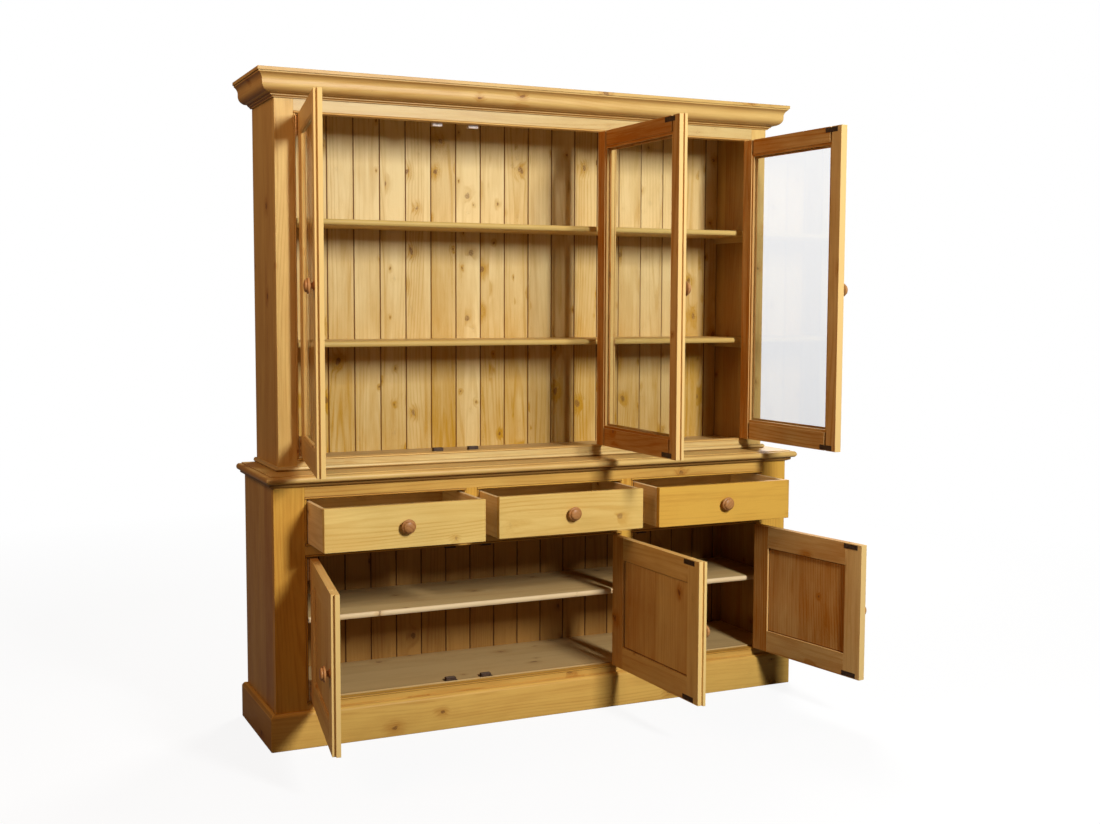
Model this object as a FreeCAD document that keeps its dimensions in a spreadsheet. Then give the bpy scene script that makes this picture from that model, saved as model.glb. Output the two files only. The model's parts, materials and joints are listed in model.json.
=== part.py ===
import FreeCAD, Part
import math
import os
import re
import Sketcher

doc = FreeCAD.newDocument("welsh_dresser")
dims = doc.addObject("Spreadsheet::Sheet", "dims")

# Driving sizes in millimetres, angles in degrees.
# Frame: +X to the right, +Z up, front towards -Y; the origin is at floor level, mid width,
# on the back plane.
sizes = {
    # boards and face frame
    "side_thickness": 20,
    "frame_thickness": 25,
    "bead_width": 7,
    "bead_proud": 1.5,
    "nose_ease": 0.5,
    "back_thickness": 12,
    "board_cover": 92.4,
    "board_starter": 40,
    "board_least": 12,
    "board_chamfer": 2.5,
    "shelf_board": 18,
    "shelf_setback": 12,
    "shelf_nose_ease": 2,
    "bearer_height": 20,
    "bearer_width": 14,
    # base
    "base_width": 1878,
    "base_depth": 402,
    "base_height": 836,
    "base_stile": 97.5,
    "muntin": 37,
    "base_top_rail": 47,
    "drawer_opening": 140,
    "drawer_rail": 28,
    "bottom_rail": 75,
    "bottom_rail_top": 135,
    "base_floor_board": 18,
    "base_floor_rise": 4,
    "base_shelf_rise": 254,
    # plinth
    "plinth_height": 115,
    "plinth_proud": 20,
    "plinth_chamfer": 8,
    # worktop and the moulding under it
    "worktop_slab": 21,
    "worktop_step": 3,
    "worktop_front": 35,
    "worktop_side": 28,
    "worktop_inset": 18,
    "bed_lip": 9,
    "bed_slope": 5,
    "bed_foot": 5,
    "bed_reach": 10,
    # hutch
    "hutch_inset": 41,
    "hutch_depth": 303,
    "hutch_stile": 59.5,
    "hutch_centre_stile": 32,
    "hutch_bottom_rail": 32,
    "hutch_opening": 1075,
    "hutch_top_rail": 108,
    "hutch_floor_board": 20,
    "hutch_top_board": 20,
    "lower_shelf_rise": 385,
    "upper_shelf_rise": 775,
    "foot_height": 15,
    "foot_flat": 5.5,
    # cornice
    "cornice_step_out": 6.6,
    "cornice_step_high": 6,
    "cornice_ovolo": 26,
    "cornice_flat": 7,
    "cornice_cove": 25,
    "cornice_fillet": 4.3,
    "cornice_cap": 11,
    "cornice_cap_lip": 4,
    # doors
    "door_thickness": 24,
    "door_gap": 2.5,
    "meeting_gap": 2,
    "meeting_lap": 8,
    "lap_front": 10,
    "lap_clearance": 1,
    "glazed_stile": 57,
    "glazed_top_rail": 60,
    "glazed_bottom_rail": 70,
    "glazing_rebate": 9,
    "glass_front": 9,
    "glass_thickness": 4,
    "glass_play": 0.3,
    "glazing_bead": 8,
    "panel_stile": 72,
    "panel_rail": 76,
    "panel_groove": 9,
    "panel_front": 7,
    "panel_thickness": 10,
    "panel_play": 0.3,
    # hinges
    "hinge_gap": 3,
    "hinge_length": 65,
    "hinge_inset": 36,
    "hinge_knuckle": 3.5,
    "hinge_pin": 1.8,
    "hinge_leaf": 1.3,
    "hinge_leaf_width": 18,
    "hinge_face_gap": 0.3,
    "knuckle_gap": 0.3,
    "pin_clearance": 0.05,
    # strike plates and catches
    "strike_length": 61,
    "strike_height": 16,
    "strike_thickness": 0.8,
    "strike_inset": 35,
    "strike_inset_single": 18,
    "strike_edge": 3,
    "catch_length": 45,
    "catch_depth": 20,
    "catch_reach": 11,
    "catch_fixing": 14,
    # turned knobs
    "knob_rose": 13,
    "knob_rose_high": 4,
    "knob_neck": 8,
    "knob_neck_high": 9,
    "knob_head": 23,
    "knob_head_half": 11,
    # drawers and what carries them
    "drawer_front": 20,
    "drawer_length": 372,
    "drawer_side_gap": 2,
    "drawer_low_gap": 2,
    "drawer_top_gap": 4.5,
    "drawer_side": 12,
    "drawer_side_drop": 2,
    "drawer_back_drop": 10,
    "drawer_bottom": 6,
    "drawer_bottom_rise": 8,
    "runner_board": 18,
    "runner_reach": 14,
    "runner_gap": 0.3,
    "guide_height": 25,
    "guide_gap": 1,
    "kicker_board": 20,
    "kicker_gap": 3,
    # rest pose
    "left_pull": 191,
    "middle_pull": 169,
    "right_pull": 181,
    "hutch_left_angle": 100,
    "hutch_middle_angle": 91,
    "hutch_right_angle": 93,
    "base_left_angle": 99,
    "base_middle_angle": 92,
    "base_right_angle": 99,
}
for row, (alias, value) in enumerate(sizes.items(), start=1):
    dims.set(f"A{row}", alias)
    dims.set(f"B{row}", str(value))
    dims.setAlias(f"B{row}", alias)
doc.recompute()

right = FreeCAD.Vector(1, 0, 0)
left = FreeCAD.Vector(-1, 0, 0)
back = FreeCAD.Vector(0, 1, 0)
front = FreeCAD.Vector(0, -1, 0)
up = FreeCAD.Vector(0, 0, 1)
down = FreeCAD.Vector(0, 0, -1)
upright = FreeCAD.Rotation()
facing_front = FreeCAD.Rotation(right, 90)
turned_over = FreeCAD.Rotation(back, 180)
nodes = []


def linked(text):
    """Write each size named in an expression as a cell of the sheet."""
    return re.sub(r"[a-z][a-z_]*", lambda word: "dims." * (word[0] in sizes) + word[0], text)


def value_of(text):
    return float(dims.evalExpression(linked(text)))


def place(piece, x, y, z, rotation=upright):
    piece.Placement = FreeCAD.Placement(FreeCAD.Vector(), rotation)
    for axis, text in zip("xyz", (x, y, z)):
        piece.setExpression("Placement.Base." + axis, linked(text))


def box(name, x, y, z, length, width, height):
    piece = doc.addObject("Part::Box", name)
    piece.setExpression("Length", linked(length))
    piece.setExpression("Width", linked(width))
    piece.setExpression("Height", linked(height))
    place(piece, x, y, z)
    return piece


def cylinder(name, radius, height, z):
    piece = doc.addObject("Part::Cylinder", name)
    piece.setExpression("Radius", linked(radius))
    piece.setExpression("Height", linked(height))
    place(piece, "0", "0", z)
    return piece


def copy_of(original, name, x, y, z, rotation=upright):
    twin = doc.addObject("App::Link", name)
    twin.LinkedObject = original
    place(twin, x, y, z, rotation)
    return twin


def joined(name, pieces):
    piece = doc.addObject("Part::MultiFuse", name)
    piece.Shapes = pieces
    return piece


def cut(name, base, tool):
    piece = doc.addObject("Part::Cut", name)
    piece.Base = base
    piece.Tool = tool
    return piece


def common(name, base, tool):
    piece = doc.addObject("Part::Common", name)
    piece.Base = base
    piece.Tool = tool
    return piece


def node(label, pieces):
    """One named sub-part: the solid of that name, or a group of solids."""
    if pieces[0].Name == label:
        piece = pieces[0]
    else:
        piece = doc.addObject("Part::Compound", label)
        piece.Links = pieces
    piece.Label = label
    nodes.append(piece)
    return piece


def arc(start, finish, radius, turn):
    """The short arc from start to finish, turning left or right on the way."""
    half = (finish - start) * 0.5
    lift = math.sqrt(radius ** 2 - half.Length ** 2)
    aside = FreeCAD.Vector(-half.y, half.x, 0).normalize() * lift
    centre = start + half + (aside if turn == "left" else -aside)
    first, last = (start, finish) if turn == "left" else (finish, start)
    angles = [math.atan2(spot.y - centre.y, spot.x - centre.x) for spot in (first, last)]
    return Part.ArcOfCircle(Part.Circle(centre, up, radius), angles[0], angles[1])


def outline(name, corners):
    """A closed sketch; a corner with a radius and a turn is reached along an arc."""
    sketch = doc.addObject("Sketcher::SketchObject", name)
    spots = [FreeCAD.Vector(value_of(corner[0]), value_of(corner[1]), 0) for corner in corners]
    ends = []
    for index, corner in enumerate(corners):
        if len(corner) == 2:
            sketch.addGeometry(Part.LineSegment(spots[index - 1], spots[index]))
            ends.append((1, 2))
        else:
            side = arc(spots[index - 1], spots[index], value_of(corner[2]), corner[3])
            sketch.addGeometry(side)
            ends.append((1, 2) if corner[3] == "left" else (2, 1))
    for index, corner in enumerate(corners):
        following = (index + 1) % len(corners)
        sketch.addConstraint(
            Sketcher.Constraint("Coincident", index, ends[index][1], following, ends[following][0]))
        for kind, axis, text, value in (("DistanceX", -2, corner[0], spots[index].x),
                                        ("DistanceY", -1, corner[1], spots[index].y)):
            if text == "0":
                sketch.addConstraint(Sketcher.Constraint("PointOnObject", index, ends[index][1], axis))
            else:
                number = sketch.addConstraint(
                    Sketcher.Constraint(kind, -1, 1, index, ends[index][1], value))
                sketch.setExpression(f"Constraints[{number}]", linked(text))
        if len(corner) == 4:
            number = sketch.addConstraint(Sketcher.Constraint("Radius", index, value_of(corner[2])))
            sketch.setExpression(f"Constraints[{number}]", linked(corner[2]))
    return sketch


def bar(name, corners, length, across, aside, x, y, z):
    """An outline carried straight for a length: across and aside are its two directions."""
    piece = doc.addObject("Part::Extrusion", name)
    piece.Base = outline(name + "_outline", corners)
    piece.DirMode = "Normal"
    piece.Solid = True
    piece.setExpression("LengthFwd", linked(length))
    place(piece, x, y, z, FreeCAD.Rotation(across, aside, across.cross(aside), "XYZ"))
    return piece


def nose_radius(board, ease):
    return f"({board}/2 + {ease})"


def nose_depth(board, ease):
    radius = nose_radius(board, ease)
    return f"({radius} - sqrt({radius}^2 - ({board}/2)^2))"


def mouldings(name, corners, out, high, half, deep, low):
    """A moulding along the front with two returns, mitred at the front corners."""
    whole = f"({deep} + {out})"
    ahead = bar(name + "_front_run", corners, f"2*({half} + {out})", front, up,
                f"{half} + {out}", f"-{deep}", low)
    ahead_plan = bar(name + "_front_plan",
                     [("0", "0"), (f"2*({half} + {out})", "0"), (f"2*{half} + {out}", out), (out, out)],
                     high, right, back, f"-{half} - {out}", f"-{whole}", low)
    port = bar(name + "_left_run", corners, whole, left, up, f"-{half}", f"-{whole}", low)
    port_plan = bar(name + "_left_plan", [("0", "0"), (out, out), (out, whole), ("0", whole)],
                    high, right, back, f"-{half} - {out}", f"-{whole}", low)
    star = bar(name + "_right_run", corners, whole, right, up, half, "0", low)
    star_plan = bar(name + "_right_plan", [("0", out), (out, "0"), (out, whole), ("0", whole)],
                    high, right, back, half, f"-{whole}", low)
    return [common(name + "_front", ahead, ahead_plan),
            common(name + "_left", port, port_plan),
            common(name + "_right", star, star_plan)]


# Levels and lines shared by the pieces.
base_half = "(base_width/2)"
base_inner = "(base_width/2 - side_thickness)"
base_frame_back = "(frame_thickness - base_depth)"
base_open = "(base_width/2 - base_stile - bead_width)"
base_post = "(muntin + 2*bead_width)"
bay = f"((2*{base_open} - 2*{base_post})/3)"
drawer_high = "(base_height - base_top_rail - bead_width)"
drawer_low = f"({drawer_high} - drawer_opening)"
cupboard_high = f"({drawer_low} - 2*bead_width - drawer_rail)"
cupboard_low = "(bottom_rail_top + bead_width)"
base_floor_top = f"({cupboard_low} + base_floor_rise)"
base_shelf_top = f"({base_floor_top} + base_shelf_rise)"
worktop_top = "(base_height + worktop_slab + worktop_step)"
hutch_width = "(base_width - 2*hutch_inset)"
hutch_half = f"({hutch_width}/2)"
hutch_inner = f"({hutch_half} - side_thickness)"
hutch_frame_back = "(frame_thickness - hutch_depth)"
hutch_open = f"({hutch_half} - hutch_stile - bead_width)"
hutch_bay = f"((2*{hutch_open} - hutch_centre_stile - 2*bead_width)/3)"
hutch_low = f"({worktop_top} + hutch_bottom_rail + bead_width)"
hutch_high = f"({hutch_low} + hutch_opening)"
frieze_low = f"({hutch_high} + bead_width)"
hutch_top = f"({frieze_low} + hutch_top_rail)"
hutch_floor_top = f"({worktop_top} + hutch_floor_board)"
hutch_shelf_tops = [f"({hutch_floor_top} + {rise})" for rise in ("lower_shelf_rise", "upper_shelf_rise")]
bays = [f"({index}*({bay} + {base_post}) - {base_open})" for index in range(3)]
wide_end = f"({bays[1]} + {bay})"
narrow_start = bays[2]
hutch_wide_end = f"(2*{hutch_bay} - {hutch_open})"
hutch_narrow_start = f"({hutch_open} - {hutch_bay})"
hinge_out = "(bead_proud + hinge_face_gap + hinge_knuckle)"


def carcass_sides(prefix, half, frame_back, low, high):
    depth = f"-{frame_back}"
    for label, x in (("left", f"-{half}"), ("right", f"{half} - side_thickness")):
        name = f"{prefix}_{label}_side"
        node(name, [box(name, x, frame_back, low, "side_thickness", depth, f"{high} - {low}")])


def back_boards(label, inner, low, high):
    """Vee-jointed boards laid from the left: a starter strip, full boards, a last strip."""
    spare = f"(2*{inner} - board_starter - board_least)"
    count = math.floor(value_of(f"{spare}/board_cover"))
    height = f"{high} - {low}"
    level = "-back_thickness"

    def board(name, x, width):
        corners = [("board_chamfer", "0"), (f"{width} - board_chamfer", "0"),
                   (width, "board_chamfer"), (width, "back_thickness"),
                   ("0", "back_thickness"), ("0", "board_chamfer")]
        return bar(name, corners, height, right, back, x, level, low)

    first = f"(board_starter - {inner})"
    last_start = f"({first} + {count}*board_cover)"
    boards = [board(label + "_starter", f"-{inner}", "board_starter"),
              board(label + "_full", first, "board_cover"),
              board(label + "_last", last_start, f"({inner} - {last_start})")]
    for index in range(1, count):
        x = f"{first} + {index}*board_cover"
        boards.append(copy_of(boards[1], f"{label}_{index}", x, level, low))
    node(label, boards)


def opening_beads(name, x_low, x_high, z_low, z_high, frame_back):
    """Four round-fronted strips that line one opening of a face frame."""
    flat = f"(frame_thickness + bead_proud - {nose_depth('bead_width', 'nose_ease')})"
    corners = [("0", "0"), (flat, "0"),
               (flat, "bead_width", nose_radius("bead_width", "nose_ease"), "left"),
               ("0", "bead_width")]
    across = f"{x_high} - {x_low} + 2*bead_width"
    tall = f"{z_high} - {z_low}"
    strips = []
    for end, z in (("low", f"{z_low} - bead_width"), ("high", z_high)):
        strips.append(bar(f"{name}_{end}", corners, across, front, up,
                          f"{x_high} + bead_width", frame_back, z))
    for end, x in (("left", f"{x_low} - bead_width"), ("right", x_high)):
        strips.append(bar(f"{name}_{end}", corners, tall, front, right, x, frame_back, z_low))
    return strips


def shelf(name, inner, frame_back, top):
    """A shelf between the sides with a rounded front edge."""
    depth = f"(-{frame_back} - shelf_setback - back_thickness)"
    flat = f"({depth} - {nose_depth('shelf_board', 'shelf_nose_ease')})"
    corners = [("0", "0"), (flat, "0"),
               (flat, "shelf_board", nose_radius("shelf_board", "shelf_nose_ease"), "left"),
               ("0", "shelf_board")]
    return bar(name, corners, f"2*{inner}", front, up, inner, "-back_thickness", f"{top} - shelf_board")


def shelf_bearers(name, inner, frame_back, top):
    depth = f"-{frame_back} - 2*shelf_setback - back_thickness"
    low = f"{top} - shelf_board - bearer_height"
    return [box(f"{name}_{end}", x, f"{frame_back} + 2*shelf_setback", low,
                "bearer_width", depth, "bearer_height")
            for end, x in (("left", f"-{inner}"), ("right", f"{inner} - bearer_width"))]


# Base carcass.
carcass_sides("base", base_half, base_frame_back, "0", "base_height")
back_boards("base_back_boards", base_inner, "0", "base_height")
base_uprights = [
    box("base_left_stile", f"-{base_half}", "-base_depth", "0",
        "base_stile", "frame_thickness", "base_height"),
    box("base_right_stile", f"{base_half} - base_stile", "-base_depth", "0",
        "base_stile", "frame_thickness", "base_height"),
    box("base_centre_stile", f"{wide_end} + bead_width", "-base_depth", "bottom_rail_top",
        "muntin", "frame_thickness", f"{cupboard_high} + bead_width - bottom_rail_top"),
]
for index in (1, 2):
    base_uprights.append(
        box(f"base_muntin_{index}", f"{bays[index]} - bead_width - muntin", "-base_depth",
            f"{drawer_low} - bead_width", "muntin", "frame_thickness",
            "drawer_opening + 2*bead_width"))
node("base_uprights", base_uprights)
base_rail_span = "base_width - 2*base_stile"
base_rail_start = f"base_stile - {base_half}"
node("base_rails", [
    box("base_top_rail_board", base_rail_start, "-base_depth", "base_height - base_top_rail",
        base_rail_span, "frame_thickness", "base_top_rail"),
    box("base_drawer_rail_board", base_rail_start, "-base_depth", f"{cupboard_high} + bead_width",
        base_rail_span, "frame_thickness", "drawer_rail"),
    box("base_bottom_rail_board", base_rail_start, "-base_depth", "bottom_rail_top - bottom_rail",
        base_rail_span, "frame_thickness", "bottom_rail"),
])
base_beads = []
for index in range(3):
    base_beads += opening_beads(f"drawer_bead_{index}", bays[index], f"({bays[index]} + {bay})",
                                drawer_low, drawer_high, base_frame_back)
base_beads += opening_beads("wide_cupboard_bead", f"-{base_open}", wide_end,
                            cupboard_low, cupboard_high, base_frame_back)
base_beads += opening_beads("narrow_cupboard_bead", narrow_start, base_open,
                            cupboard_low, cupboard_high, base_frame_back)
node("base_opening_beads", base_beads)
node("base_floor", [
    box("base_floor", f"-{base_inner}", base_frame_back, f"{base_floor_top} - base_floor_board",
        f"2*{base_inner}", f"-{base_frame_back} - back_thickness", "base_floor_board"),
])
node("base_shelf", [shelf("base_shelf", base_inner, base_frame_back, base_shelf_top)])

# Plinth round the foot of the base, with a chamfered top edge.
plinth_corners = [("0", "0"), ("plinth_proud", "0"),
                  ("plinth_proud", "plinth_height - plinth_chamfer"),
                  ("plinth_proud - plinth_chamfer", "plinth_height"), ("0", "plinth_height")]
node("plinth", mouldings("plinth", plinth_corners, "plinth_proud", "plinth_height",
                         base_half, "base_depth", "0"))

# Worktop: a bullnosed slab with a shallow raised field, rounded on the front and both ends.
worktop_nose = nose_depth("worktop_slab", "nose_ease")
worktop_round = nose_radius("worktop_slab", "nose_ease")
worktop_high = "(worktop_slab + worktop_step)"
worktop_deep = "(base_depth + worktop_front)"
worktop_wide = "(base_width + 2*worktop_side)"
worktop_depth_corners = [
    ("0", "0"), (f"{worktop_deep} - {worktop_nose}", "0"),
    (f"{worktop_deep} - {worktop_nose}", "worktop_slab", worktop_round, "left"),
    (f"{worktop_deep} - worktop_inset", "worktop_slab"),
    (f"{worktop_deep} - worktop_inset", worktop_high), ("0", worktop_high)]
worktop_width_corners = [
    (worktop_nose, "0", worktop_round, "left"), (f"{worktop_wide} - {worktop_nose}", "0"),
    (f"{worktop_wide} - {worktop_nose}", "worktop_slab", worktop_round, "left"),
    (f"{worktop_wide} - worktop_inset", "worktop_slab"),
    (f"{worktop_wide} - worktop_inset", worktop_high), ("worktop_inset", worktop_high),
    ("worktop_inset", "worktop_slab"), (worktop_nose, "worktop_slab")]
worktop_along = bar("worktop_along", worktop_depth_corners, worktop_wide, front, up,
                    f"{worktop_wide}/2", "0", "base_height")
worktop_across = bar("worktop_across", worktop_width_corners, worktop_deep, right, up,
                     f"-{worktop_wide}/2", "0", "base_height")
node("worktop", [common("worktop", worktop_along, worktop_across)])

bed_out = "(bed_foot + bed_reach)"
bed_high = "(bed_slope + bed_lip)"
bed_corners = [("0", "0"), ("bed_foot", "0"), (bed_out, "bed_slope"), (bed_out, bed_high), ("0", bed_high)]
node("worktop_bed_moulding", mouldings("worktop_bed_moulding", bed_corners, bed_out, bed_high,
                                       base_half, "base_depth", f"(base_height - {bed_high})"))

# Hutch carcass.
carcass_sides("hutch", hutch_half, hutch_frame_back, worktop_top, hutch_top)
back_boards("hutch_back_boards", hutch_inner, worktop_top, hutch_top)
hutch_tall = f"{hutch_top} - {worktop_top}"
node("hutch_stiles", [
    box("hutch_left_stile", f"-{hutch_half}", "-hutch_depth", worktop_top,
        "hutch_stile", "frame_thickness", hutch_tall),
    box("hutch_right_stile", f"{hutch_half} - hutch_stile", "-hutch_depth", worktop_top,
        "hutch_stile", "frame_thickness", hutch_tall),
    box("hutch_middle_stile", f"{hutch_wide_end} + bead_width", "-hutch_depth",
        f"{hutch_low} - bead_width", "hutch_centre_stile", "frame_thickness",
        "hutch_opening + 2*bead_width"),
])
hutch_rail_span = f"{hutch_width} - 2*hutch_stile"
hutch_rail_start = f"hutch_stile - {hutch_half}"
node("hutch_rails", [
    box("hutch_top_rail_board", hutch_rail_start, "-hutch_depth", frieze_low,
        hutch_rail_span, "frame_thickness", "hutch_top_rail"),
    box("hutch_bottom_rail_board", hutch_rail_start, "-hutch_depth", worktop_top,
        hutch_rail_span, "frame_thickness", "hutch_bottom_rail"),
])
hutch_beads = opening_beads("wide_hutch_bead", f"-{hutch_open}", hutch_wide_end,
                            hutch_low, hutch_high, hutch_frame_back)
hutch_beads += opening_beads("narrow_hutch_bead", hutch_narrow_start, hutch_open,
                             hutch_low, hutch_high, hutch_frame_back)
node("hutch_opening_beads", hutch_beads)
hutch_board_depth = f"-{hutch_frame_back} - back_thickness"
node("hutch_floor", [
    box("hutch_floor", f"-{hutch_inner}", hutch_frame_back, worktop_top,
        f"2*{hutch_inner}", hutch_board_depth, "hutch_floor_board"),
])
node("hutch_top", [
    box("hutch_top", f"-{hutch_inner}", hutch_frame_back, f"{hutch_top} - hutch_top_board",
        f"2*{hutch_inner}", hutch_board_depth, "hutch_top_board"),
])
bearers = shelf_bearers("base_bearer", base_inner, base_frame_back, base_shelf_top)
hutch_shelves = []
for name, top in zip(("hutch_lower_shelf", "hutch_upper_shelf"), hutch_shelf_tops):
    hutch_shelves.append(shelf(name, hutch_inner, hutch_frame_back, top))
    bearers += shelf_bearers(name + "_bearer", hutch_inner, hutch_frame_back, top)
node("hutch_shelves", hutch_shelves)
node("shelf_bearers", bearers)

foot_nose = nose_depth("foot_height", "nose_ease")
foot_out = f"(foot_flat + {foot_nose})"
foot_corners = [("0", "0"), ("foot_flat", "0"),
                ("foot_flat", "foot_height", nose_radius("foot_height", "nose_ease"), "left"),
                ("0", "foot_height")]
node("foot_moulding", mouldings("foot_moulding", foot_corners, foot_out, "foot_height",
                                hutch_half, "hutch_depth", worktop_top))

# Cornice: two small steps, an ovolo and a cove under a flat cap board.
belly_out = "(3*cornice_step_out + cornice_ovolo)"
belly_high = "(2*cornice_step_high + cornice_ovolo)"
cove_out = "(cornice_cove/2)"
cove_high = "(cornice_cove*sqrt(3)/2)"
cove_low = f"({belly_high} + cornice_flat)"
cornice_out = f"({belly_out} + {cove_out})"
cornice_high = f"({cove_low} + {cove_high} + cornice_fillet)"
cornice_corners = [
    ("0", "0"), ("cornice_step_out", "0"), ("cornice_step_out", "cornice_step_high"),
    ("2*cornice_step_out", "cornice_step_high"), ("2*cornice_step_out", "2*cornice_step_high"),
    ("3*cornice_step_out", "2*cornice_step_high"),
    (belly_out, belly_high, "cornice_ovolo", "left"), (belly_out, cove_low),
    (cornice_out, f"{cove_low} + {cove_high}", "cornice_cove", "right"),
    (cornice_out, cornice_high), ("0", cornice_high)]
node("cornice", mouldings("cornice", cornice_corners, cornice_out, cornice_high,
                          hutch_half, "hutch_depth", f"({hutch_top} - {cornice_high})"))
cap_out = f"({cornice_out} + cornice_cap_lip)"
node("cornice_cap_board", [
    box("cornice_cap_board", f"-{hutch_half} - {cap_out}", f"-hutch_depth - {cap_out}", hutch_top,
        f"{hutch_width} + 2*{cap_out}", f"hutch_depth + {cap_out}", "cornice_cap"),
])

# Butt hinges, made once about their own pin and middle height, then placed.
knuckle_long = "((hinge_length - 4*knuckle_gap)/5)"
plate_start = "(hinge_knuckle + hinge_face_gap)"
plate_deep = f"{hinge_out} + hinge_leaf_width - {plate_start}"


def hinge_half(name, x, knuckles):
    parts = [box(name + "_plate", x, plate_start, "-hinge_length/2",
                 "hinge_leaf", plate_deep, "hinge_length")]
    for number in knuckles:
        z = f"{number}*({knuckle_long} + knuckle_gap) - hinge_length/2"
        parts.append(cylinder(f"{name}_knuckle_{number}", "hinge_knuckle", knuckle_long, z))
        parts.append(box(f"{name}_arm_{number}", x, "0", z, "hinge_leaf", plate_start, knuckle_long))
    return parts


fixed_parts = hinge_half("fixed_leaf", "-hinge_gap/2", (0, 2, 4))
fixed_parts.append(cylinder("hinge_pin_rod", "hinge_pin", "hinge_length", "-hinge_length/2"))
fixed_leaf = joined("fixed_leaf", fixed_parts)
hinge_bore = cylinder("hinge_bore", "hinge_pin + pin_clearance", "2*hinge_length", "-hinge_length")
moving_leaf = cut("moving_leaf",
                  joined("moving_leaf_solid", hinge_half("moving_leaf", "hinge_gap/2 - hinge_leaf", (1, 3))),
                  hinge_bore)

# Turned knob, made once along its own axis: rose, neck and a flattened round head.
knob_head = doc.addObject("Part::Ellipsoid", "knob_head_round")
knob_head.setExpression("Radius1", linked("knob_head_half"))
knob_head.setExpression("Radius2", linked("knob_head"))
knob_head.setExpression("Radius3", linked("knob_head"))
place(knob_head, "0", "0", "knob_rose_high + knob_neck_high + knob_head_half/2")
knob = joined("knob", [
    cylinder("knob_rose_disc", "knob_rose", "knob_rose_high", "0"),
    cylinder("knob_neck_rod", "knob_neck", "knob_neck_high + knob_head_half/2", "knob_rose_high"),
    knob_head])

hinge_frame_leaves = []
catches = []


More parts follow.
